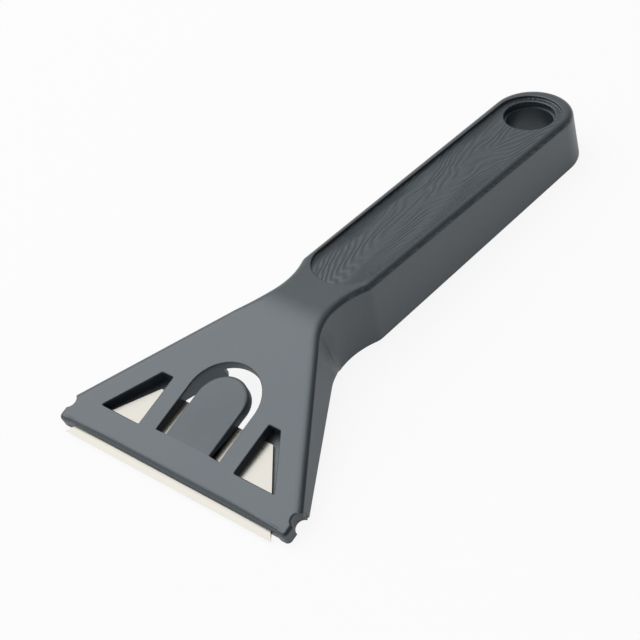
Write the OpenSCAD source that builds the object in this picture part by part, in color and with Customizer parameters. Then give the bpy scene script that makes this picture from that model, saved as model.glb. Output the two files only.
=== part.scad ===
// Ceramic hob scraper: a moulded body with a hollow handle, a sprung tongue
// in its head, and a trapezoid blade held in under the head.
// The shapes are drawn in the head's own frame, in millimetres: X is across,
// Y runs from the blade's edge towards the handle, and the head's flat top is
// z = 0. Everything is then turned and set down the way it lies on a table.
// Along the body, u is the length followed on the top surface, which bends
// down from the head to the handle.

/* [Head] */
// Half width of the body at its narrowest, the waist behind the head
waist_half = 8.3; // [7.5:0.1:9.5]
// Radius of the hollow curve that forms the waist, seen from above
waist_r = 22; // [18:0.5:28]
// Where the waist lies along the body
waist_u = 46.9; // [45:0.1:50]
// Angle of each side of the head from the centre line
side_angle = 31.5; // [28:0.5:34]
// Thickness of the head's plate and of the handle's top
plate_t = 2.4; // [2.2:0.1:2.8]
// Width and depth of the rounded top edge on the head
head_edge = [2.2, 1.1];
// Depth of the side walls where they start, beside the windows
front_depth = 3.6; // [3.4:0.1:4.5]
// How fast the side walls deepen along the head
depth_rate = 0.172; // [0.14:0.002:0.2]
// Front edge of the plate and radius of its rounded nose
nose_y = -6.9; // [-7.5:0.1:-6.5]
nose_r = 1.7; // [1.2:0.1:2]

/* [Handle] */
// How far the handle bends down from the head
bend_angle = 20.3; // [16:0.1:24]
// Where the two top planes would cross, and the radius that blends them
bend_y = 38.5; // [37:0.1:40]
bend_r = 28; // [24:1:34]
// Half width of the handle at its shoulder and at its round end
shoulder_half = 10.2; // [9.8:0.05:10.4]
end_half = 10.6; // [10.4:0.05:11.2]
// Radius of the shoulder between waist and handle
shoulder_r = 4; // [2:0.5:6]
// Centre of the hanging hole and of the handle's round end
hole_u = 132.5; // [110:0.5:150]
end_u = 133.7; // [111:0.1:151]
// Radius of the hanging hole and of the raised ring round it
hole_r = 6; // [5:0.1:6.4]
ring_r = 6.9; // [6.8:0.1:7.4]
// Width and depth of the rounded top edge on the handle
handle_edge = [1.9, 1.65];
// Depth of the handle at the waist, and what it loses per millimetre of length
neck_depth = 15.25; // [14:0.05:17]
depth_loss = 0.0275; // [0:0.0025:0.04]
// Half width and depth of the sunk panel, and the centre of its near end
panel_half = 8.4; // [7.8:0.1:8.5]
panel_depth = 0.8; // [0.4:0.1:1]
panel_u = 60; // [56:0.5:66]

/* [Moulding] */
// Thickness of the side walls
wall_t = 2; // [1.6:0.1:2.4]
// Draft of the side walls, which spread towards their open underside
draft = 6.5; // [3:0.5:8]
// Cross ribs under the handle's top
ribs = 3; // [0:1:5]
// Depth and thickness of a cross rib
rib_depth = 3.5; // [2:0.5:6]
rib_t = 1.5; // [1:0.1:2]

/* [Windows and slot] */
// Half width of the inner edge of a window, and its two widths
window_in = 14.2; // [13.8:0.1:14.6]
window_front_w = 11.3; // [9:0.1:12]
window_back_w = 3.2; // [2:0.1:4]
// Length of a window, which starts at y = 0
window_len = 13.1; // [11:0.1:14]
// Half widths of the U slot's outline and of the tongue inside it
slot_half = 9.3; // [9:0.05:9.6]
tongue_half = 6.45; // [6.2:0.05:6.7]
// Where the slot and the tongue's root start, and where their round ends turn
slot_y = 0.8; // [0.4:0.1:1.5]
slot_turn_y = 13.6; // [13:0.1:14]
tongue_turn_y = 13.1; // [12.6:0.1:13.3]

/* [Blade] */
// Cutting edge, back edge, width and thickness of the blade
edge_len = 61; // [60:0.5:61]
back_len = 33; // [32:0.5:34]
blade_w = 19; // [18.5:0.1:19]
blade_t = 0.6; // [0.45:0.05:0.65]
// Width of the ground bevel along the edge
bevel_w = 1.5; // [0.8:0.1:2.5]
// Where the edge stands in front of the plate, and the depth of the blade there
edge_y = -8.8; // [-9.2:0.1:-8.4]
edge_z = -1.5; // [-1.6:0.05:-1.4]
// Slope of the blade against the head's top
blade_slope = 2.5; // [2:0.1:2.6]
// Centre, width and depth of the two notches in the back edge
notch_x = 4.2; // [4:0.1:4.4]
notch_w = 3; // [2.8:0.1:3.2]
notch_depth = 2.6; // [2.4:0.1:2.8]

/* [Hidden] */
$fn = 96;

// Clearance round the blade in its seat, and of the tongue at its root
fit_gap = 0.1;
side_gap = 0.35;
root_gap = 0.06;
// Front corners that guard the blade's ends: front, outer side, underside
lug_y = -7.15;
lug_x = 33.7;
lug_z = -3.4;
lug_round = 1.1;
// Half-round notch behind each corner
scallop_r = 1.9;
scallop = [34.2, -2.5];
// The side walls start here, and the front bar and the corner blocks end here
wall_u = -0.5;
front_end_y = -0.15;
// Ledges that reach in under the blade, and the hooks over its back edge
ledge_w = 2.4;
ledge_t = 0.9;
hook_x = [10.3, 13.3];
hook_reach = 2.6;
hook_back = 1.5;
// Pegs under the tongue, which sit in the blade's notches
peg_r = 1.25;
peg_len = 0.75;
// The side walls deepen to the handle's depth between these two places
step_u = [27.5, 43];
// Steps along each stretch of the outline and round the top edge
side_steps = 18;
waist_steps = 18;
shoulder_steps = 4;
end_steps = 16;
edge_steps = 5;
big = 100;

// Bend of the top surface: where it starts and ends, along y and along u
bend_start = bend_y - bend_r * tan(bend_angle / 2);
bend_len = bend_r * bend_angle * PI / 180;
bend_end_u = bend_start + bend_len;
bend_end = [bend_start + bend_r * sin(bend_angle), bend_r * (cos(bend_angle) - 1)];

// Outline of the body seen from above: circles of the waist and the shoulder
waist_c = [waist_half + waist_r, waist_u];
shoulder_angle = acos((waist_c[0] + shoulder_r - shoulder_half) / (waist_r + shoulder_r));
shoulder_c = waist_c + (waist_r + shoulder_r) * [-cos(shoulder_angle), sin(shoulder_angle)];
side_end = waist_c - waist_r * [cos(side_angle), sin(side_angle)];

// Point of the body at x across, u along and d below its top surface
function place(x, u, d) =
    u < bend_start ? [x, u, -d]
    : u < bend_end_u ? let (a = (u - bend_start) / bend_len * bend_angle)
        [x, bend_start + (bend_r - d) * sin(a), (bend_r - d) * cos(a) - bend_r]
    : [x, bend_end[0] + (u - bend_end_u) * cos(bend_angle) - d * sin(bend_angle),
       bend_end[1] - (u - bend_end_u) * sin(bend_angle) - d * cos(bend_angle)];

// Smooth step from 0 to 1 between two places along the body
function ease(u, from, to) =
    let (t = min(1, max(0, (u - from) / (to - from)))) t * t * (3 - 2 * t);

// Depth of the side walls, and size of the rounded top edge, along the body
function depth(u) =
    let (head = front_depth + depth_rate * (u - wall_u), handle = neck_depth - depth_loss * (u - waist_u))
    head + (handle - head) * ease(u, step_u[0], step_u[1]);
function top_edge(u) = head_edge + (handle_edge - head_edge) * ease(u, bend_start, shoulder_c[1]);

// Right half of the outline, from the head's front to the handle's tip.
// Each station is [x, u, outward direction in x, outward direction in u].
outline = concat(
    [for (i = [0 : side_steps - 1])
        let (t = i / side_steps, u = wall_u + t * (side_end[1] - wall_u),
             x = side_end[0] + (side_end[1] - u) * tan(side_angle))
        i == 0 ? [x, u, 1 / cos(side_angle), 0] : [x, u, cos(side_angle), sin(side_angle)]],
    [for (i = [0 : waist_steps - 1])
        let (a = -side_angle + (shoulder_angle + side_angle) * i / waist_steps)
        [waist_c[0] - waist_r * cos(a), waist_c[1] + waist_r * sin(a), cos(a), -sin(a)]],
    [for (i = [0 : shoulder_steps])
        let (a = -shoulder_angle * (1 - i / shoulder_steps))
        [shoulder_c[0] + shoulder_r * cos(a), shoulder_c[1] + shoulder_r * sin(a), cos(a), sin(a)]],
    [for (i = [0 : end_steps])
        let (a = 90 * i / end_steps)
        [i == end_steps ? 0 : end_half * cos(a), end_u + end_half * sin(a), cos(a), sin(a)]]);

// Section of the wall at a station, as [outwards, down]: round the top edge,
// down the drafted outside, across the rim and up the inside to the ceiling
function section(u) =
    let (e = top_edge(u), d = depth(u), spread = (d - e[1]) * tan(draft))
    concat(
        [for (j = [0 : edge_steps]) let (a = 90 * j / edge_steps) [-e[0] * (1 - sin(a)), e[1] * (1 - cos(a))]],
        [[spread, d], [spread - wall_t, d], [-wall_t - 0.4, plate_t + 0.4], [-wall_t - 1.2, plate_t]]);

// The moulded shell, swept along both halves of the outline
module shell() {
    n = len(outline);
    k = len(section(0));
    left = [for (s = outline) for (p = section(s[1])) place(-s[0] - s[2] * p[0], s[1] + s[3] * p[0], p[1])];
    right = [for (i = [0 : (n - 1) * k - 1]) [-left[i][0], left[i][1], left[i][2]]];
    function l(i, j) = i * k + j;
    function r(i, j) = i == n - 1 ? l(i, j) : n * k + l(i, j);
    walls = [for (i = [0 : n - 2]) for (j = [0 : k - 2])
        each [[l(i, j), l(i, j + 1), l(i + 1, j + 1)], [l(i, j), l(i + 1, j + 1), l(i + 1, j)],
              [r(i, j), r(i + 1, j + 1), r(i, j + 1)], [r(i, j), r(i + 1, j), r(i + 1, j + 1)]]];
    top = [for (i = [0 : n - 2])
        each [[l(i, 0), l(i + 1, 0), r(i, 0)], if (i < n - 2) [l(i + 1, 0), r(i + 1, 0), r(i, 0)]]];
    ceiling = [for (i = [0 : n - 2])
        each [[l(i, k - 1), r(i, k - 1), l(i + 1, k - 1)],
              if (i < n - 2) [l(i + 1, k - 1), r(i, k - 1), r(i + 1, k - 1)]]];
    front = [[for (j = [0 : k - 2]) r(0, j)], [for (j = [k - 2 : -1 : 0]) l(0, j)],
             [r(0, 0), r(0, k - 2), r(0, k - 1)], [l(0, k - 1), l(0, k - 2), l(0, 0)],
             [r(0, 0), r(0, k - 1), l(0, k - 1), l(0, 0)]];
    polyhedron(concat(left, right), concat(walls, top, ceiling, front));
}

// Turns a drawing made along u, flat on the handle's top, into its place there
module on_handle() {
    translate([0, bend_end[0], bend_end[1]])
        rotate([-bend_angle, 0, 0])
            translate([0, -bend_end_u, 0])
                children();
}

// Frame of the blade: y runs back from its edge and z = 0 is its upper face
module on_blade() {
    translate([0, edge_y, edge_z])
        rotate([-blade_slope, 0, 0])
            children();
}

// Both sides of what is drawn on the right
module both_sides() {
    children();
    mirror([1, 0, 0])
        children();
}

// Outline of the blade with its slanted ends moved out by a clearance
module blade_outline(grow) {
    slope = (edge_len - back_len) / 2 / blade_w;
    side = grow * sqrt(1 + slope * slope);
    front = edge_len / 2 + side + 2 * slope;
    back = back_len / 2 + side - slope * fit_gap;
    polygon([[-front, -2], [front, -2], [back, blade_w + fit_gap], [-back, blade_w + fit_gap]]);
}

// Front bar of the plate with its rounded nose
module nose_bar() {
    rotate([90, 0, 90])
        linear_extrude(2 * (lug_x - lug_round), center = true) {
            translate([nose_y + nose_r, -plate_t])
                square([front_end_y - nose_y - nose_r, plate_t]);
            translate([nose_y + nose_r, -nose_r])
                circle(nose_r);
            translate([nose_y, -plate_t])
                square([nose_r, plate_t - nose_r]);
        }
}

// Corner block beside the blade's end: a guard in front, a ledge underneath
module corner_block() {
    translate([lug_x - lug_round, nose_y + nose_r, -nose_r])
        rotate([-90, 0, 0])
            cylinder(r = lug_round, h = front_end_y - nose_y - nose_r);
    translate([0, 0, lug_z])
        linear_extrude(-lug_z - lug_round * 0.5) {
            translate([window_in, lug_y])
                square([lug_x - lug_round - window_in, front_end_y - lug_y]);
            translate([lug_x - 2 * lug_round, lug_y + lug_round])
                square([2 * lug_round, front_end_y - lug_y - lug_round]);
            translate([lug_x - lug_round, lug_y + lug_round])
                circle(lug_round);
        }
}

// Hook over the blade's back edge, beside the slot
module back_hook() {
    on_blade()
        translate([hook_x[0], 0, 0]) {
            translate([0, blade_w + fit_gap * 2, -blade_t - fit_gap - ledge_t])
                cube([hook_x[1] - hook_x[0], hook_back, ledge_t + blade_t + fit_gap + 0.5]);
            translate([0, blade_w - hook_reach, -blade_t - fit_gap - ledge_t])
                cube([hook_x[1] - hook_x[0], hook_reach + hook_back, ledge_t]);
        }
}

// Window beside the slot, through which the blade shows
module window() {
    translate([0, 0, -big / 2])
        linear_extrude(big)
            polygon([[window_in, 0], [window_in + window_front_w, 0],
                     [window_in + window_back_w, window_len], [window_in, window_len]]);
}

// Bullet outline with straight sides and a round end, seen from above
module bullet(half, from_y, turn_y) {
    translate([-half, from_y])
        square([2 * half, turn_y - from_y]);
    translate([0, turn_y])
        circle(half);
}

// Long round-ended outline of the sunk panel
module panel() {
    translate([-panel_half, panel_u])
        square([2 * panel_half, hole_u - panel_u]);
    for (u = [panel_u, hole_u])
        translate([0, u])
            circle(panel_half);
}

// Cross ribs that stiffen the handle's top
module handle_ribs() {
    pitch = (hole_u - ring_r - shoulder_c[1]) / (ribs + 1);
    for (i = [1 : 1 : ribs])
        translate([-panel_half - 0.6, shoulder_c[1] + i * pitch - rib_t / 2, -plate_t - rib_depth])
            cube([2 * panel_half + 1.2, rib_t, rib_depth + 0.5]);
}

module body_moulding() {
    color([0.24, 0.26, 0.28]) {
        difference() {
            union() {
                shell();
                nose_bar();
                both_sides()
                    corner_block();
                on_handle()
                    handle_ribs();
            }
            on_blade() {
                translate([0, 0, -blade_t - fit_gap])
                    linear_extrude(blade_t + fit_gap)
                        blade_outline(side_gap);
                translate([0, 0, -big])
                    linear_extrude(big)
                        blade_outline(side_gap - ledge_w);
            }
            both_sides() {
                window();
                translate([scallop[0], scallop[1], -big / 2])
                    cylinder(r = scallop_r, h = big);
            }
            translate([0, 0, -big / 2])
                linear_extrude(big)
                    bullet(slot_half, slot_y, slot_turn_y);
            on_handle() {
                difference() {
                    translate([0, 0, -panel_depth])
                        linear_extrude(big)
                            panel();
                    translate([0, hole_u, -panel_depth - 1])
                        cylinder(r = ring_r, h = panel_depth + 1);
                }
                translate([0, hole_u, -big / 2])
                    cylinder(r = hole_r, h = big);
            }
        }
        both_sides()
            back_hook();
    }
}

module spring_tongue() {
    color([0.26, 0.28, 0.30]) {
        difference() {
            translate([0, 0, -plate_t])
                linear_extrude(plate_t)
                    bullet(tongue_half, slot_y + root_gap, tongue_turn_y);
            on_blade()
                translate([-big / 2, -big / 2, -big + fit_gap / 2])
                    cube(big);
        }
        both_sides()
            on_blade()
                translate([notch_x, blade_w - notch_depth + peg_r + fit_gap, -peg_len])
                    cylinder(r = peg_r, h = peg_len + 1);
    }
}

module blade() {
    bevel = atan((blade_t / 2 - 0.03) / bevel_w);
    color([0.86, 0.85, 0.82])
        on_blade()
            translate([0, 0, -blade_t])
                difference() {
                    linear_extrude(blade_t)
                        polygon([[-edge_len / 2, 0], [edge_len / 2, 0], [back_len / 2, blade_w],
                                 [-back_len / 2, blade_w]]);
                    for (x = [-notch_x, notch_x])
                        translate([x - notch_w / 2, blade_w - notch_depth, -1])
                            cube([notch_w, notch_depth + 1, blade_t + 2]);
                    translate([-big / 2, bevel_w, blade_t])
                        rotate([bevel, 0, 0])
                            translate([0, -10, 0])
                                cube([big, 10, 1]);
                    translate([-big / 2, bevel_w, 0])
                        rotate([-bevel, 0, 0])
                            translate([0, -10, -1])
                                cube([big, 10, 1]);
                }
}

// The part lies on its two front corners and on the handle's end
front_touch = [lug_y, lug_z];
tip = place(0, end_u + end_half + (depth(end_u + end_half) - handle_edge[1]) * tan(draft), depth(end_u + end_half));
rest_angle = atan2(front_touch[1] - tip[2], tip[1] - front_touch[0]);
rest_z = -(front_touch[0] * sin(rest_angle) + front_touch[1] * cos(rest_angle));
edge_mid_z = edge_z - blade_t / 2;
rest_y = -(edge_y * cos(rest_angle) - edge_mid_z * sin(rest_angle)
    + tip[1] * cos(rest_angle) - tip[2] * sin(rest_angle)) / 2;

module at_rest() {
    translate([0, rest_y, rest_z])
        rotate([rest_angle, 0, 0])
            children();
}

at_rest() body_moulding();
at_rest() spring_tongue();
at_rest() blade();
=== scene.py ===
from math import acos, cos, pi, radians, sin, sqrt, tan

import bmesh
import bpy
from mathutils import Matrix, Vector


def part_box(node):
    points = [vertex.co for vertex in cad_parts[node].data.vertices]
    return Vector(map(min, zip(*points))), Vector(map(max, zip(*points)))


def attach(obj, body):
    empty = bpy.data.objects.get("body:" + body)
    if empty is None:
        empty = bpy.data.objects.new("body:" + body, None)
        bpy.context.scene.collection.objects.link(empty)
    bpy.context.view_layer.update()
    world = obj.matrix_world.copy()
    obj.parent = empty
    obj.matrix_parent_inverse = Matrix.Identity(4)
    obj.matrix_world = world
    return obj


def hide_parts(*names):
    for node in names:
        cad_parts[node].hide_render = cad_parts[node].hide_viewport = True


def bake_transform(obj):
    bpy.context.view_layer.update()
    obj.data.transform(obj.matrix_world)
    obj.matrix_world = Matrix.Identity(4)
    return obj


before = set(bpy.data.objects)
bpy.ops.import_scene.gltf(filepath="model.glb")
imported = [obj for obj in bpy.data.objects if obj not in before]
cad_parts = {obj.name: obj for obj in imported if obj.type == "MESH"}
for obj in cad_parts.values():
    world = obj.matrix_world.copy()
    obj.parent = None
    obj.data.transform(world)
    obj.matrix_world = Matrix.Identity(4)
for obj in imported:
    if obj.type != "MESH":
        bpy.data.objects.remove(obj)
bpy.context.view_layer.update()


# The body is one injection moulding in slate-grey plastic: a flat head, a neck
# and a hollow handle open underneath. It is drawn here unbent and in
# millimetres, x across and u along its top, and is bent to shape at the end.

BEND_ANGLE, BEND_Y, BEND_R = radians(20.3), 38.5, 28.0
BEND_START = BEND_Y - BEND_R * tan(BEND_ANGLE / 2)
BEND_END = BEND_START + BEND_R * BEND_ANGLE

NOSE_U, NOSE_HALF, NOSE_BACK_U = -6.9, 30.6, -4.4
LUG_X, LUG_INNER_X, LUG_U, LUG_BACK_U = 33.7, 31.4, -7.15, -0.72
LUG_R, LUG_EDGE, LUG_DEPTH = 1.1, 1.1, 3.4
SIDE_ANGLE, DRAFT = radians(31.5), tan(radians(6.5))
WAIST_R, WAIST_X, WAIST_U = 22.0, 30.3, 46.9
SHOULDER_R, SHOULDER_HALF = 4.0, 10.2
SHOULDER_ANGLE = acos((WAIST_X + SHOULDER_R - SHOULDER_HALF) / (WAIST_R + SHOULDER_R))
SHOULDER_U = WAIST_U + (WAIST_R + SHOULDER_R) * sin(SHOULDER_ANGLE)
SIDE_END = (WAIST_X - WAIST_R * cos(SIDE_ANGLE), WAIST_U - WAIST_R * sin(SIDE_ANGLE))
END_HALF, END_U = 10.6, 133.7
PLATE = 2.4
DEEP = 20.0  # further down than any part of the body


def ease(value, low, high):
    """Smooth step from 0 to 1 between two places."""
    t = min(1.0, max(0.0, (value - low) / (high - low)))
    return t * t * (3 - 2 * t)


def line(bm, pen, x, u, cuts=0):
    """Draw a straight edge from the vertex pen, and return its far vertex."""
    start, end = pen.co.copy(), Vector((x, u, 0))
    for i in range(1, cuts + 2):
        pen = bmesh.ops.extrude_vert_indiv(bm, verts=[pen])["verts"][0]
        pen.co = start.lerp(end, i / (cuts + 1))
    return pen


def arc(bm, pen, x, u, turn, steps):
    """Draw an arc from the vertex pen round a centre, and return its far vertex."""
    swept = bmesh.ops.spin(bm, geom=[pen], cent=(x, u, 0), axis=(0, 0, 1),
                           angle=turn, steps=steps)
    return next(g for g in swept["geom_last"] if isinstance(g, bmesh.types.BMVert))


def mirrored(bm):
    """Complete a half outline drawn on the right, from centre line to centre line."""
    bmesh.ops.mirror(bm, geom=bm.verts[:] + bm.edges[:], axis="X", merge_dist=1e-3)
    bmesh.ops.remove_doubles(bm, verts=bm.verts[:], dist=2e-3)


def loft(bm, section):
    """Make a closed outline a solid. section(x, u) lists the steps outwards and
    down that the wall takes at that place of the outline."""
    home = bm.verts.layers.float_vector.new("home")
    outward = bm.verts.layers.float_vector.new("outward")
    cap = bm.faces[:] or bmesh.ops.contextual_create(bm, geom=bm.edges[:])["faces"]
    cap[0].normal_update()
    if cap[0].normal.z < 0:
        cap[0].normal_flip()
    for corner in cap[0].loops:
        here = corner.vert.co.copy()
        before = (here - corner.link_loop_prev.vert.co).normalized()
        after = (corner.link_loop_next.vert.co - here).normalized()
        one, two = (Vector((t.y, -t.x, 0)) for t in (before, after))
        corner.vert[home] = here
        corner.vert[outward] = (one + two) / (1 + one.dot(two))

    def settle(verts, step):
        for v in verts:
            out, down = section(v[home].x, v[home].y)[step]
            v.co = v[home] + v[outward] * out - Vector((0, 0, down))

    rim = bm.edges[:]
    settle(bm.verts[:], 0)
    for step in range(1, len(section(0, 0))):
        grown = bmesh.ops.extrude_edge_only(bm, edges=rim)["geom"]
        verts = {g for g in grown if isinstance(g, bmesh.types.BMVert)}
        rim = [g for g in grown
               if isinstance(g, bmesh.types.BMEdge) and all(v in verts for v in g.verts)]
        settle(verts, step)
    bmesh.ops.contextual_create(bm, geom=rim)
    bmesh.ops.recalc_face_normals(bm, faces=bm.faces[:])


def solid(bm, name="cutter"):
    """The bmesh as an object of the scene."""
    mesh = bpy.data.meshes.new(name)
    bm.to_mesh(mesh)
    bm.free()
    made = bpy.data.objects.new(name, mesh)
    bpy.context.scene.collection.objects.link(made)
    return made


def round_over(width, depth, steps=5):
    """Steps of a rounded edge that starts inwards by width and ends down by depth."""
    angles = [pi / 2 * i / steps for i in range(steps + 1)]
    return [(-width * (1 - sin(a)), depth * (1 - cos(a))) for a in angles]


def top_edge(x, u):
    """Width and depth of the rounded top edge at a place of the outline."""
    if u < NOSE_BACK_U:
        middle, corner = 1.7, 1.1
        return (middle + (corner - middle) * ease(abs(x), 16, 32.4),) * 2
    head, handle = (2.2, 1.1), (1.9, 1.65)
    if u < LUG_BACK_U:
        share = (u - NOSE_BACK_U) / (LUG_BACK_U - NOSE_BACK_U)
        return tuple(LUG_EDGE + (to - LUG_EDGE) * share for to in head)
    share = ease(u, BEND_START, SHOULDER_U)
    return tuple(a + (b - a) * share for a, b in zip(head, handle))


def outer_wall(x, u):
    """Steps of the rounded top edge, and of the drafted wall under it."""
    width, depth = top_edge(x, u)
    out = (DEEP - depth) * DRAFT if u > LUG_BACK_U else 0.0
    return round_over(width, depth, 10) + [(out, DEEP)]


def draw_side(bm, pen):
    """Draw the right side from the head's front to the handle's tip."""
    pen = line(bm, pen, *SIDE_END, cuts=50)
    pen = arc(bm, pen, WAIST_X, WAIST_U, -SIDE_ANGLE - SHOULDER_ANGLE, 44)
    pen = arc(bm, pen, SHOULDER_HALF - SHOULDER_R, SHOULDER_U, SHOULDER_ANGLE, 10)
    pen = line(bm, pen, END_HALF, END_U, cuts=40)
    arc(bm, pen, 0, END_U, pi / 2, 40)


bm = bmesh.new()
pen = line(bm, bm.verts.new((0, NOSE_U, 0)), NOSE_HALF, NOSE_U, cuts=30)
pen = line(bm, pen, LUG_INNER_X, LUG_U)
pen = line(bm, pen, LUG_X - LUG_R, LUG_U)
pen = arc(bm, pen, LUG_X - LUG_R, LUG_U + LUG_R, pi / 2, 8)
pen = line(bm, pen, LUG_X, LUG_BACK_U, cuts=6)
draw_side(bm, pen)
mirrored(bm)
loft(bm, outer_wall)
body = solid(bm, "body")


def carve(work, tool, operation="DIFFERENCE"):
    """Cut the solid tool out of the solid work, or add it, and use it up."""
    cut = work.modifiers.new("carve", "BOOLEAN")
    cut.operation, cut.solver, cut.object = operation, "MANIFOLD", tool
    shown = work.evaluated_get(bpy.context.evaluated_depsgraph_get())
    carved = bpy.data.meshes.new_from_object(shown)
    work.modifiers.remove(cut)
    old, work.data = work.data, carved
    bpy.data.meshes.remove(old)
    bpy.data.objects.remove(tool)


def head_rim(u):
    """Depth of the head's side walls, which grows towards the neck."""
    return 3.6 + 0.172 * (u + 0.5)


def rim_depth(u):
    """Depth of the side walls along the whole body."""
    if u < -0.55:
        return LUG_DEPTH
    handle_rim = 15.25 - 0.0275 * (u - WAIST_U)
    return head_rim(u) + (handle_rim - head_rim(u)) * ease(u, 30, 44)


# The side walls are trimmed to their depth by a slab that reaches from u -12 to
# u 147, with a row of vertices every millimetre
bm = bmesh.new()
bmesh.ops.create_cube(bm, size=1)
bmesh.ops.transform(bm, verts=bm.verts[:],
                    matrix=Matrix.Translation((0, 67.5, 0)) @ Matrix.Diagonal((90, 159, 2, 1)))
lengthwise = [e for e in bm.edges if abs(e.verts[0].co.y - e.verts[1].co.y) > 1]
bmesh.ops.subdivide_edges(bm, cuts=158, use_grid_fill=True, edges=lengthwise)
for v in bm.verts:
    if v.co.z < 0:
        v.co.z = -rim_depth(v.co.y)
carve(body, solid(bm), "INTERSECT")


def block(x, u, z, place=Matrix()):
    """A plain block between two places on each axis, as a solid."""
    bm = bmesh.new()
    bmesh.ops.create_cube(bm, size=1)
    for v in bm.verts:
        v.co = place @ Vector([low + (0.5 + at) * (high - low)
                               for at, (low, high) in zip(v.co, (x, u, z))])
    return solid(bm)


# The inside is hollowed, which leaves walls about 2 mm thick, and is opened at
# its front over the middle of the blade
HOLLOW_FRONT = -2.55
bm = bmesh.new()
front_half = SIDE_END[0] + (SIDE_END[1] - HOLLOW_FRONT) * tan(SIDE_ANGLE)
draw_side(bm, line(bm, bm.verts.new((0, HOLLOW_FRONT, 0)), front_half, HOLLOW_FRONT))
mirrored(bm)
loft(bm, lambda x, u: [(-3.2, PLATE), (-2.4, PLATE + 0.4), (0.35, DEEP)])
carve(body, solid(bm))
carve(body, block((-14.2, 14.2), (-9, 1), (-DEEP, -PLATE)))

# Low cross ribs stiffen the top of the handle
RIB_PITCH, RIB_HALF_T, RIB_DEPTH = 19.0, 0.75, 3.5
for i in (1, 2, 3):
    u = SHOULDER_U + i * RIB_PITCH
    carve(body, block((-9, 9), (u - RIB_HALF_T, u + RIB_HALF_T),
                      (-PLATE - RIB_DEPTH, -PLATE + 0.5)), "UNION")

# The blade's seat: a slanted pocket, ledges under the blade's ends, and two
# hooks over its back edge
BLADE_FRAME = Matrix.Translation((0, -8.8, -1.5)) @ Matrix.Rotation(-radians(2.5), 4, "X")
BLADE_HALF, BLADE_BACK_HALF, BLADE_W, BLADE_T = 30.5, 16.5, 19.0, 0.6
SEAT_GAP, LEDGE = 0.35, 2.05


def seat(grow, low, high):
    """A prism over the blade's outline, with its slanted ends moved out by grow."""
    slope = (BLADE_HALF - BLADE_BACK_HALF) / BLADE_W
    side = grow * sqrt(1 + slope * slope)
    bm = bmesh.new()
    bmesh.ops.create_cube(bm, size=2)
    for v in bm.verts:
        half, y = ((BLADE_HALF + side + 2 * slope, -2.0) if v.co.y < 0
                   else (BLADE_BACK_HALF + side - 0.1 * slope, BLADE_W + 0.1))
        v.co = BLADE_FRAME @ Vector((v.co.x * half, y, high if v.co.z > 0 else low))
    return solid(bm)


carve(body, seat(SEAT_GAP, -BLADE_T - 0.1, 0))
carve(body, seat(-LEDGE, -DEEP, 0))
for x in ((10.3, 13.3), (-13.3, -10.3)):  # a stem behind the blade, a finger under it
    carve(body, block(x, (19.2, 20.7), (-1.6, 0.6), BLADE_FRAME), "UNION")
    carve(body, block(x, (16.4, 20.6), (-1.6, -0.7), BLADE_FRAME), "UNION")


def flared(radius, depth):
    """Steps of a cutter that leaves an edge rounded to radius round its opening."""
    angles = [pi / 2 * i / 4 for i in range(5)]
    rounded = [(radius * (1 - sin(a)), radius * (1 - cos(a))) for a in angles]
    return [(radius, -1.0)] + rounded + [(0.0, depth)]


def polygon(corners, side):
    """A flat face drawn on the right, or its mirror image on the left."""
    bm = bmesh.new()
    bm.faces.new([bm.verts.new((side * x, u, 0)) for x, u in corners])
    return bm


def circle(x, u, radius, segments=96):
    """A circle as a closed outline."""
    bm = bmesh.new()
    bmesh.ops.create_circle(bm, segments=segments, radius=radius,
                            matrix=Matrix.Translation((x, u, 0)))
    return bm


# Windows beside the slot show the blade. A rib runs down round the outside of
# each, with a shelf on it that carries the blade's end, and a half-round notch
# stands behind each front corner
RIB = ((26.98, -2.4), (28.5, -2.4), (18.07, 14.3), (13.0, 14.3), (13.0, 13.05), (17.4, 13.05))
WINDOW = ((14.2, 0), (25.5, 0), (17.4, 13.1), (14.2, 13.1))
SHELF = ((28.1, 6.4), (18.6, 22.6), (13.1, 22.6), (13.1, 18.2), (15.8, 18.2), (24.5, 6.4))
NOTCH_X, NOTCH_U, NOTCH_R = 34.2, -2.5, 1.9
CUT_THROUGH = 12.0
for side in (1, -1):
    bm = polygon(RIB, side)
    loft(bm, lambda x, u: [(0.0, PLATE - 0.3), (0.0, head_rim(u))])
    carve(body, solid(bm), "UNION")
    bm = polygon(WINDOW, side)
    bmesh.ops.bevel(bm, geom=bm.verts[:], offset=0.3, affect="VERTICES", segments=3, profile=0.5)
    loft(bm, lambda x, u: flared(0.3, CUT_THROUGH))
    carve(body, solid(bm))
    bm = polygon(SHELF, side)
    loft(bm, lambda x, u: [(0.0, BLADE_T + 0.15), (0.0, BLADE_T + 1.1)])
    bm.transform(BLADE_FRAME)
    carve(body, solid(bm), "UNION")
    bm = circle(side * NOTCH_X, NOTCH_U, NOTCH_R, 64)
    loft(bm, lambda x, u: flared(0.45, CUT_THROUGH))
    carve(body, solid(bm))

# The slot frees the tongue on three sides; its root line stays sharp, because
# the tongue is one piece with the head there
TONGUE_HALF, SLOT_U, SLOT_R, SLOT_ARC_U = 6.45, 0.8, 9.3, 13.6
bm = bmesh.new()
pen = line(bm, bm.verts.new((0, SLOT_U, 0)), TONGUE_HALF, SLOT_U)
pen = line(bm, line(bm, pen, SLOT_R, SLOT_U), SLOT_R, SLOT_ARC_U, cuts=4)
arc(bm, pen, 0, SLOT_ARC_U, pi / 2, 30)
mirrored(bm)
loft(bm, lambda x, u: flared(0.3 if abs(x) > TONGUE_HALF + 0.1 or u > 1 else 0.0, CUT_THROUGH))
carve(body, solid(bm))

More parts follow.
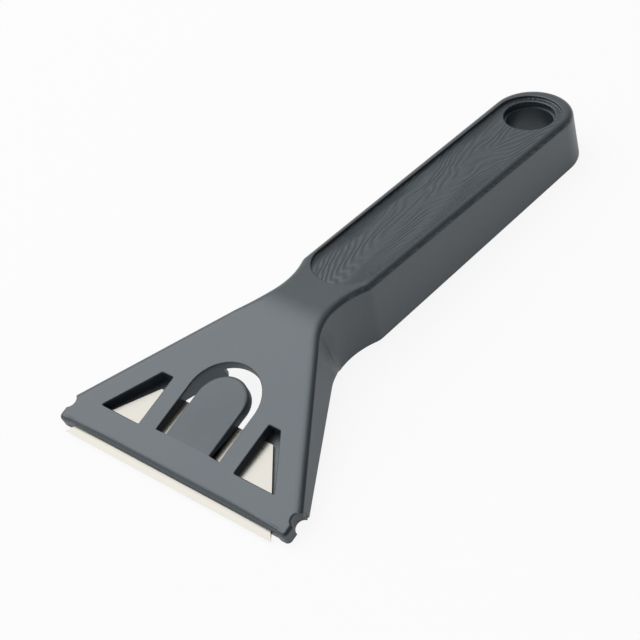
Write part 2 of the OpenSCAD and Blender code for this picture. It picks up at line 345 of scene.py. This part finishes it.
# Behind the blade, two gussets grow down from the slot's edge
GUSSET_U, GUSSET_R, GUSSET_TURN = 10.4, 10.6, radians(50)
for side in (1, -1):
    bm = bmesh.new()
    first = bm.verts.new((side * SLOT_R, GUSSET_U, 0))
    pen = line(bm, first, side * SLOT_R, SLOT_ARC_U, cuts=4)
    pen = arc(bm, pen, 0, SLOT_ARC_U, side * GUSSET_TURN, 14)
    pen = line(bm, pen, side * GUSSET_R * cos(GUSSET_TURN),
               SLOT_ARC_U + GUSSET_R * sin(GUSSET_TURN))
    pen = arc(bm, pen, 0, SLOT_ARC_U, -side * GUSSET_TURN, 14)
    bm.edges.new((line(bm, pen, side * GUSSET_R, GUSSET_U, cuts=4), first))
    loft(bm, lambda x, u: [(0.0, PLATE - 0.4), (0.0, PLATE + 0.15 + 0.6 * min(u - GUSSET_U, 5))])
    carve(body, solid(bm), "UNION")

# The sunk panel, and the hanging hole with its tube
PANEL_HALF, PANEL_U, PANEL_END_U, PANEL_DEPTH = 8.4, 60.0, 132.5, 0.8
PANEL_EDGE = 0.25
HOLE_U, HOLE_R, LIP_R, TUBE_R, TUBE_DEPTH = 133.0, 6.0, 6.5, 7.9, 12.3
bm = bmesh.new()
pen = arc(bm, bm.verts.new((0, PANEL_U - PANEL_HALF, 0)), 0, PANEL_U, pi / 2, 32)
pen = line(bm, pen, PANEL_HALF, PANEL_END_U, cuts=30)
arc(bm, pen, 0, PANEL_END_U, pi / 2, 32)
mirrored(bm)
fillet = [(-PANEL_EDGE * (1 - cos(pi / 8 * i)),
           PANEL_DEPTH - PANEL_EDGE * (1 - sin(pi / 8 * i))) for i in range(5)]
loft(bm, lambda x, u: flared(PANEL_EDGE, 0.4) + fillet)
carve(body, solid(bm))
bm = circle(0, HOLE_U, TUBE_R)
loft(bm, lambda x, u: [(0.0, PANEL_DEPTH + 0.6), (0.0, TUBE_DEPTH)])
carve(body, solid(bm), "UNION")
bm = circle(0, HOLE_U, HOLE_R)
lip = [(LIP_R - HOLE_R + out, down + PANEL_DEPTH) for out, down in flared(PANEL_EDGE, 1.5)]
loft(bm, lambda x, u: lip + [(0.0, PANEL_DEPTH + 1.6), (0.0, DEEP)])
carve(body, solid(bm))


# The slope and the place of the head on the table
MM = 0.001
REST_ANGLE, REST_Y, REST_Z = radians(17.8158), -67.6652, 5.42455


def head_to_rest(x, y, z):
    """A point of the head's own frame, in metres in the frame of the resting scraper."""
    return Vector((x,
                   REST_Y + y * cos(REST_ANGLE) - z * sin(REST_ANGLE),
                   REST_Z + y * sin(REST_ANGLE) + z * cos(REST_ANGLE))) * MM


def bent(x, u, z):
    """Where a point of the unbent drawing lies on the finished scraper."""
    if u < BEND_START:
        return head_to_rest(x, u, z)
    turn = min(u - BEND_START, BEND_END - BEND_START) / BEND_R
    past = max(0.0, u - BEND_END)
    return head_to_rest(
        x,
        BEND_START + (BEND_R + z) * sin(turn) + past * cos(turn),
        (BEND_R + z) * cos(turn) - BEND_R - past * sin(turn))


def cut_across(bm, u):
    """Put a row of vertices straight across the piece."""
    bmesh.ops.bisect_plane(bm, geom=bm.verts[:] + bm.edges[:] + bm.faces[:], dist=1e-5,
                           plane_co=(0, u, 0), plane_no=(0, 1, 0))


def shade(bm):
    """Flat faces stay flat up to their edges, and rounded ones run smoothly."""
    bm.normal_update()
    for e in bm.edges:
        level = {abs(f.normal.z) > 0.99999 for f in e.link_faces}
        e.smooth = e.calc_face_angle(0) < radians(25) and len(level) == 1
    for f in bm.faces:
        f.smooth = True


# The drawing is cut into strips where it bends, flaps without thickness that
# the carving left are deleted, the panel's floor gets the second material, and
# the whole is bent to shape
body.data.materials.clear()
bm = bmesh.new()
bm.from_mesh(body.data)
bmesh.ops.remove_doubles(bm, verts=bm.verts[:], dist=1e-4)
bmesh.ops.triangulate(bm, faces=bm.faces[:])
STRIPS = 20
for i in range(STRIPS + 1):
    cut_across(bm, BEND_START + (BEND_END - BEND_START) * i / STRIPS)
twins = {}
for f in bm.faces:
    twins.setdefault(frozenset(f.verts), []).append(f)
flaps = [f for pair in twins.values() if len(pair) > 1 for f in pair]
bmesh.ops.delete(bm, geom=flaps, context="FACES")
shade(bm)
for f in bm.faces:
    middle = f.calc_center_median()
    sunk = -PANEL_DEPTH - 0.01 < middle.z < -0.5 and middle.y > 50
    f.material_index = int(sunk and f.normal.z > 0.3)
for v in bm.verts:
    v.co = bent(*v.co)
bm.to_mesh(body.data)
bm.free()


def effect(name, inputs, outputs):
    """A new shader node group with named inputs and outputs, and its two ends."""
    group = bpy.data.node_groups.new(name, "ShaderNodeTree")
    for label, kind, value in inputs:
        socket = group.interface.new_socket(label, in_out="INPUT",
                                            socket_type="NodeSocket" + kind)
        socket.default_value = value
    for label, kind in outputs:
        group.interface.new_socket(label, in_out="OUTPUT", socket_type="NodeSocket" + kind)
    return group, group.nodes.new("NodeGroupInput"), group.nodes.new("NodeGroupOutput")


def node(tree, kind, links=(), **values):
    """A node with its settings, and (input, value or socket that feeds it) pairs."""
    made = tree.nodes.new("ShaderNode" + kind)
    for key, value in values.items():
        setattr(made, key, value)
    for target, source in links:
        if isinstance(source, bpy.types.NodeSocket):
            tree.links.new(source, made.inputs[target])
        else:
            made.inputs[target].default_value = source
    return made


def spread(tree, value, low, high):
    """A noise value, which lies about 0.5, spread from low to high."""
    return node(tree, "MapRange", [("Value", value), ("From Min", 0.3), ("From Max", 0.7),
                                   ("To Min", low), ("To Max", high)]).outputs[0]


def satin_effect():
    """The fine spark-eroded grain of the mould, and cloudy changes of tone."""
    group, ins, outs = effect(
        "satin grain",
        [("Tone", "Color", (0.1, 0.1, 0.1, 1)), ("Roughness", "Float", 0.4),
         ("Grain", "Float", 1.0)],
        [("Color", "Color"), ("Roughness", "Float"), ("Height", "Float")])
    place = node(group, "TexCoord").outputs["Object"]
    grain = node(group, "TexNoise", [("Vector", place), ("Scale", 2600.0), ("Detail", 3.0),
                                     ("Roughness", 0.7)]).outputs["Fac"]
    cloud = node(group, "TexNoise", [("Vector", place), ("Scale", 55.0), ("Detail", 4.0),
                                     ("Roughness", 0.6)]).outputs["Fac"]
    level = spread(group, cloud, 0.9, 1.1)
    speck = spread(group, grain, 0.85, 1.15)
    both = node(group, "Math", [(0, level), (1, speck)], operation="MULTIPLY")
    tone = node(group, "VectorMath", [(0, ins.outputs["Tone"]), ("Scale", both.outputs[0])],
                operation="SCALE")
    rough = node(group, "Math", [(0, ins.outputs["Roughness"]), (1, level)],
                 operation="MULTIPLY")
    height = node(group, "Math", [(0, grain), (1, ins.outputs["Grain"])], operation="MULTIPLY")
    group.links.new(tone.outputs[0], outs.inputs["Color"])
    group.links.new(rough.outputs[0], outs.inputs["Roughness"])
    group.links.new(height.outputs[0], outs.inputs["Height"])
    return group


def wood_effect():
    """Wood grain cut into the mould: long wavy lines round pointed arches."""
    group, ins, outs = effect(
        "wood grain",
        [("Arch", "Float", 0.12), ("Reach", "Float", 0.2), ("Wander", "Float", 19.0),
         ("Pores", "Float", 1.1)],
        [("Height", "Float")])

    def maths(kind, one, two=0.0):
        return node(group, "Math", [(0, one), (1, two)], operation=kind).outputs[0]

    place = node(group, "TexCoord").outputs["Object"]
    stretched = node(group, "Mapping", [("Vector", place), ("Location", (0.31, 0.17, 0.0)),
                                        ("Scale", (80, 19, 0))])
    figure = node(group, "TexNoise", [("Vector", stretched.outputs[0]), ("Scale", 1.0),
                                      ("Detail", 2.5), ("Roughness", 0.5),
                                      ("Distortion", 0.4)])
    at = node(group, "SeparateXYZ", [("Vector", place)])
    across = maths("MULTIPLY", at.outputs["X"], 1 / MM)
    along = maths("MULTIPLY", at.outputs["Y"], 1 / MM)
    arch = maths("MULTIPLY", maths("MULTIPLY", across, across), ins.outputs["Arch"])
    base = maths("SUBTRACT", arch, maths("MULTIPLY", along, ins.outputs["Reach"]))
    wander = maths("MULTIPLY", figure.outputs["Fac"], ins.outputs["Wander"])
    lines = maths("SINE", maths("MULTIPLY", maths("ADD", base, wander), 2 * pi))
    fine = node(group, "Mapping", [("Vector", place), ("Scale", (1500, 150, 0))])
    pores = node(group, "TexNoise", [("Vector", fine.outputs[0]), ("Scale", 1.0),
                                     ("Detail", 2.0)])
    cut = maths("MULTIPLY", pores.outputs["Fac"], ins.outputs["Pores"])
    group.links.new(maths("ADD", lines, cut), outs.inputs["Height"])
    return group


SATIN, WOOD = satin_effect(), wood_effect()
SLATE = (0.032, 0.042, 0.051)
BODY_ROUGHNESS = 0.33


def moulded_plastic(name, roughness, wood=False):
    """Slate-grey moulded plastic; the sunk panel has wood grain as well."""
    material = bpy.data.materials.new(name)
    material.use_nodes = True
    tree = material.node_tree
    shader = tree.nodes["Principled BSDF"]
    satin = node(tree, "Group", node_tree=SATIN)
    satin.inputs["Tone"].default_value = (*SLATE, 1)
    satin.inputs["Roughness"].default_value = roughness
    tree.links.new(satin.outputs["Color"], shader.inputs["Base Color"])
    tree.links.new(satin.outputs["Roughness"], shader.inputs["Roughness"])
    bump = node(tree, "Bump", [("Height", satin.outputs["Height"]), ("Strength", 0.4),
                               ("Distance", 0.0001)])
    if wood:
        cut = node(tree, "Group", node_tree=WOOD)
        bump = node(tree, "Bump", [("Height", cut.outputs["Height"]), ("Strength", 0.42),
                                   ("Distance", 0.00011), ("Normal", bump.outputs[0])])
    tree.links.new(bump.outputs[0], shader.inputs["Normal"])
    shader.inputs["IOR"].default_value = 1.6
    shader.inputs["Specular IOR Level"].default_value = 1.0
    shader.inputs["Specular Tint"].default_value = (0.87, 0.95, 1.0, 1)
    return material


body.data.materials.append(moulded_plastic("slate_plastic", BODY_ROUGHNESS))
body.data.materials.append(moulded_plastic("slate_wood_grain", BODY_ROUGHNESS, wood=True))
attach(body, "handle")
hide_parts("body_moulding")


# The tongue is part of the same moulding: a flat leaf with a round end that
# hangs on the head by its root, bends a little there, and presses on the blade.
# Two pegs under it stand in the notches of the blade's back edge.

TONGUE_ARC_U = 13.1
TONGUE_ROUGHNESS = 0.42
PEG_X, PEG_Y, PEG_R, PEG_LENGTH = 4.2, 17.75, 1.25, 1.75


def slice_off(bm, point, away):
    """Cut off what lies beyond a plane, and close the cut."""
    bmesh.ops.bisect_plane(bm, geom=bm.verts[:] + bm.edges[:] + bm.faces[:], dist=1e-5,
                           plane_co=point, plane_no=away, clear_outer=True)
    bmesh.ops.holes_fill(bm, edges=[e for e in bm.edges if e.is_boundary])


def leaf_wall(x, u):
    """Steps of the tongue's top edge, rounder at the tip, and of its wall."""
    tip = ease(u, 12, 17)
    return round_over(0.35 + 0.6 * tip, 0.35 + 0.15 * tip) + [(0.0, 5.0)]


bm = bmesh.new()
pen = line(bm, bm.verts.new((0, SLOT_U - 2, 0)), TONGUE_HALF, SLOT_U - 2)
pen = line(bm, pen, TONGUE_HALF, TONGUE_ARC_U, cuts=24)
arc(bm, pen, 0, TONGUE_ARC_U, pi / 2, 24)
mirrored(bm)
loft(bm, leaf_wall)
slice_off(bm, (0, SLOT_U, 0), (0, -1, 0))
slice_off(bm, BLADE_FRAME @ Vector((0, 0, 0.05)), BLADE_FRAME.to_3x3() @ Vector((0, 0, -1)))
slice_off(bm, (0, 10.3, -2.3), (0, -0.15, -1))
tongue = solid(bm, "tongue")

for x in (PEG_X, -PEG_X):
    bm = bmesh.new()
    bmesh.ops.create_cone(bm, cap_ends=True, segments=32, radius1=PEG_R, radius2=PEG_R,
                          depth=PEG_LENGTH,
                          matrix=BLADE_FRAME @ Matrix.Translation((x, PEG_Y, 0.125)))
    foot = min(f.calc_center_median().z for f in bm.faces)
    bmesh.ops.bevel(bm, geom=[e for e in bm.edges if all(v.co.z < foot + 0.3 for v in e.verts)],
                    offset=0.2, affect="EDGES", segments=2, profile=0.5)
    carve(tongue, solid(bm), "UNION")

bm = bmesh.new()
bm.from_mesh(tongue.data)
bmesh.ops.triangulate(bm, faces=bm.faces[:])
for i in range(1, 12):
    cut_across(bm, SLOT_U + 0.4 * i)
shade(bm)
for v in bm.verts:
    v.co = head_to_rest(*v.co)
bm.to_mesh(tongue.data)
bm.free()
tongue.data.materials.clear()
tongue.data.materials.append(moulded_plastic("slate_plastic_tongue", TONGUE_ROUGHNESS))
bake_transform(tongue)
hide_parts("spring_tongue")


# The blade is a refill in thin spring steel, ground bright. It lies in its seat
# with its edge in front of the head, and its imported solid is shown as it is.

STEEL = (0.45, 0.434, 0.396)
BLADE_EDGE_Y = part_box("blade")[0][1]
BEVEL_HIGHLIGHT_Y = BLADE_EDGE_Y + 0.0011


def blade_steel():
    """Ground spring steel with grinding lines along the blade, and a painted highlight along its
    edge bevel.
    """
    material = bpy.data.materials.new("ground_steel")
    material.use_nodes = True
    tree = material.node_tree
    shader = tree.nodes["Principled BSDF"]
    place = node(tree, "TexCoord").outputs["Object"]
    along = node(tree, "Mapping", [("Vector", place), ("Scale", (60, 5200, 5200))])
    ground = node(tree, "TexNoise", [("Vector", along.outputs[0]), ("Scale", 1.0),
                                     ("Detail", 3.0)]).outputs["Fac"]
    edge = node(tree, "SeparateXYZ", [("Vector", place)])
    # The strip of the edge bevel is painted 8% lighter. This is a painted highlight, because the
    # flat blade has no bevel face to catch the light.
    bevel = node(tree, "MapRange", [("Value", edge.outputs["Y"]), ("From Min", BEVEL_HIGHLIGHT_Y),
                                    ("From Max", BEVEL_HIGHLIGHT_Y + 0.00025), ("To Min", 1.08),
                                    ("To Max", 1.0)])
    lined = node(tree, "VectorMath", [(0, STEEL), ("Scale", spread(tree, ground, 0.97, 1.03))],
                 operation="SCALE")
    colour = node(tree, "VectorMath", [(0, lined.outputs[0]), ("Scale", bevel.outputs[0])],
                  operation="SCALE")
    tree.links.new(colour.outputs[0], shader.inputs["Base Color"])
    shader.inputs["Metallic"].default_value = 1.0
    rough = node(tree, "MapRange", [("Value", ground), ("To Min", 0.22), ("To Max", 0.38)])
    tree.links.new(rough.outputs[0], shader.inputs["Roughness"])
    bump = node(tree, "Bump", [("Height", ground), ("Strength", 0.15), ("Distance", 0.00003)])
    tree.links.new(bump.outputs[0], shader.inputs["Normal"])
    return material


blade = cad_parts["blade"]
blade.data.materials.clear()
blade.data.materials.append(blade_steel())


# The scraper lies on a white table that falls away in front of the blade, so
# that the blade can slide out. A large soft lamp hangs over its left side, and
# the table lights its walls from below.

TABLE_REACH, TABLE_DROP, DROP_Y = 3, -0.0095, -0.106
SEEN_SHARE, MIRRORED_SHARE = 0.9, 0.42
SKY_LEFT, SKY_RIGHT = 0.62, 0.12

bm = bmesh.new()
pen = bm.verts.new((-TABLE_REACH, TABLE_REACH, 0))
for y, z in ((BLADE_EDGE_Y - 0.0002, 0), (DROP_Y, TABLE_DROP), (-TABLE_REACH, TABLE_DROP)):
    pen = bmesh.ops.extrude_vert_indiv(bm, verts=[pen])["verts"][0]
    pen.co = (-TABLE_REACH, y, z)
swept = bmesh.ops.extrude_edge_only(bm, edges=bm.edges[:])["geom"]
bmesh.ops.translate(bm, verts=[g for g in swept if isinstance(g, bmesh.types.BMVert)],
                    vec=(2 * TABLE_REACH, 0, 0))
bmesh.ops.recalc_face_normals(bm, faces=bm.faces[:])
if bm.faces[:][0].normal.z < 0:
    bmesh.ops.reverse_faces(bm, faces=bm.faces[:])
floor = solid(bm, "floor")

white = bpy.data.materials.new("white_table")
white.use_nodes = True
tree = white.node_tree
table = tree.nodes["Principled BSDF"]
table.inputs["Base Color"].default_value = (0.97, 0.97, 0.97, 1)
table.inputs["Roughness"].default_value = 0.6
table.inputs["Specular IOR Level"].default_value = 0.2
rays = node(tree, "LightPath").outputs
glow = node(tree, "Emission", [("Strength", 1.0)])
mirrored_rays = node(tree, "Math", [(0, rays["Is Glossy Ray"]),
                                    (1, rays["Is Transmission Ray"])], operation="ADD")
seen = node(tree, "Math", [(0, rays["Is Camera Ray"]), (1, SEEN_SHARE)], operation="MULTIPLY")
share = node(tree, "Math", [(0, mirrored_rays.outputs[0]), (1, MIRRORED_SHARE),
                            (2, seen.outputs[0])], operation="MULTIPLY_ADD")
mixed = node(tree, "MixShader", [(0, share.outputs[0]), (1, table.outputs[0]),
                                 (2, glow.outputs[0])])
tree.links.new(mixed.outputs[0], tree.nodes["Material Output"].inputs["Surface"])
floor.data.materials.append(white)

# The room is dim on the right, which draws dark lines along the rounded edges
world = bpy.data.worlds.new("studio")
world.use_nodes = True
bpy.context.scene.world = world
tree = world.node_tree
toward = node(tree, "SeparateXYZ", [("Vector", node(tree, "TexCoord").outputs["Generated"])])
sky = node(tree, "MapRange", [("Value", toward.outputs["X"]), ("From Min", -0.5),
                              ("From Max", 0.4), ("To Min", SKY_LEFT), ("To Max", SKY_RIGHT)])
rays = node(tree, "LightPath").outputs
level = node(tree, "Math", [(0, sky.outputs[0]), (1, rays["Is Camera Ray"])],
             operation="MAXIMUM")
tree.links.new(level.outputs[0], tree.nodes["Background"].inputs["Strength"])
tree.nodes["Background"].inputs["Color"].default_value = (1, 1, 1, 1)

LAMP_TOWARD = Vector((-0.50, -0.10, 0.85))
LAMP_DISTANCE, LAMP_SIZE, LAMP_POWER = 0.9, 1.12, 5.05
lamp = bpy.data.objects.new("overhead", bpy.data.lights.new("overhead", "AREA"))
lamp.data.shape, lamp.data.size, lamp.data.energy = "SQUARE", LAMP_SIZE, LAMP_POWER
lamp.location = LAMP_TOWARD.normalized() * LAMP_DISTANCE
lamp.rotation_euler = LAMP_TOWARD.to_track_quat("Z", "Y").to_euler()
bpy.context.scene.collection.objects.link(lamp)

camera = bpy.data.objects.new("camera", bpy.data.cameras.new("camera"))
camera.data.lens = 103.758
camera.data.clip_start = 0.01
camera.location = (0.229087, -0.246652, 0.280267)
camera.rotation_euler = (radians(49.28822), radians(7.04541), radians(39.41859))
bpy.context.scene.collection.objects.link(camera)
bpy.context.scene.camera = camera
bpy.context.scene.view_settings.view_transform = "Standard"
